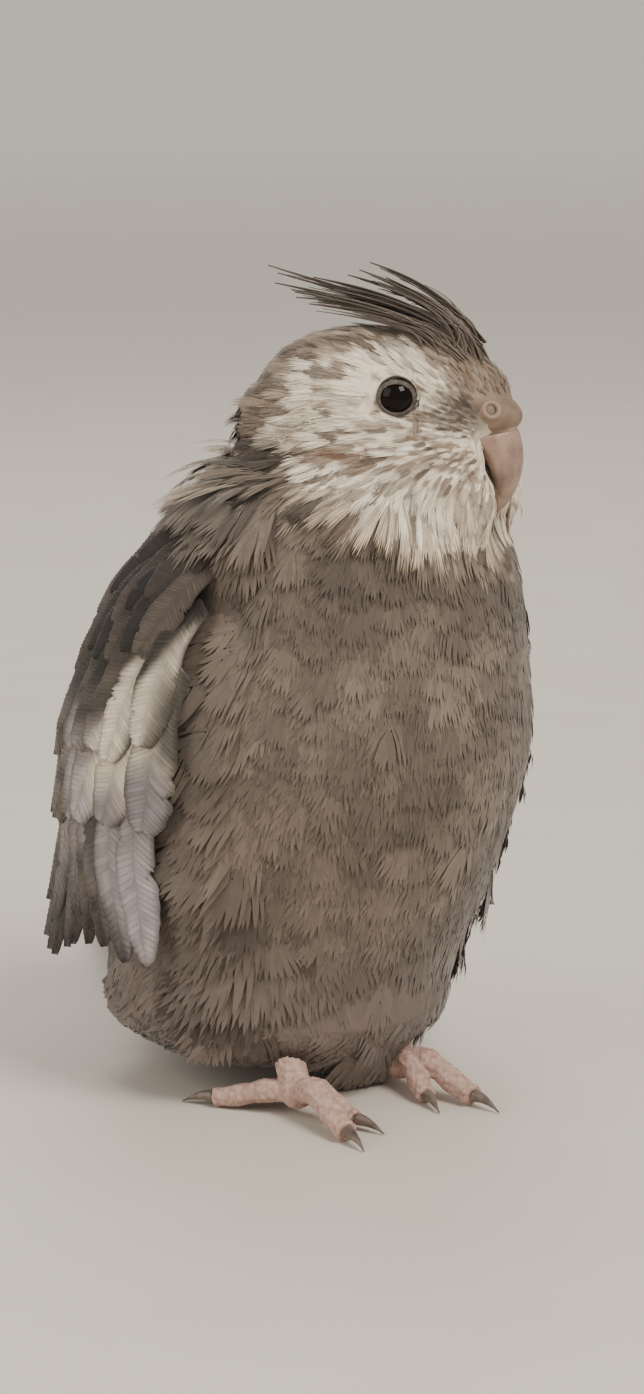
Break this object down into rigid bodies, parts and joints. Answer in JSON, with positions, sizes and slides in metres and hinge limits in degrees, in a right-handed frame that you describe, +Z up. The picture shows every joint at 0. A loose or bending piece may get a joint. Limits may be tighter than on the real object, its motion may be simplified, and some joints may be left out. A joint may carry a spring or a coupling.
{
  "type": "cockatiel",
  "caption": "Cockatiel standing at rest: fluffed grey plumage, white face and wing patch, swept-back crest, head turned to its left, long tail laid back.",
  "frame": {"origin": "on the floor, under the middle of the bird's bounding box", "axes": "+Z up; the body faces -Y and the tail runs back towards +Y; +X is the bird's left"},
  "size_m": [0.1048, 0.2128, 0.1521],
  "materials": {
    "plumage": "soft matt feathers",
    "face_plumage": "soft matt feathers",
    "flight_feathers": "smooth firm feathers with a slight sheen",
    "cere": "matt bare skin",
    "horn": "satin horn",
    "claw": "satin horn",
    "scaled_skin": "matt skin with fine scales",
    "eye": "wet and glossy"
  },
  "bodies": {
    "root": {"torso": "plumage", "neck": "plumage", "head": "face_plumage", "crest": "plumage", "cere": "cere", "upper_bill": "horn", "lower_bill": "horn", "tail": "flight_feathers", "left_eye": "eye", "left_wing": "flight_feathers", "left_leg": "scaled_skin", "left_inner_front_claw": "claw", "left_outer_front_claw": "claw", "left_outer_back_claw": "claw", "left_inner_back_claw": "claw", "right_eye": "eye", "right_wing": "flight_feathers", "right_leg": "scaled_skin", "right_inner_front_claw": "claw", "right_outer_front_claw": "claw", "right_outer_back_claw": "claw", "right_inner_back_claw": "claw"}
  },
  "joints": []
}
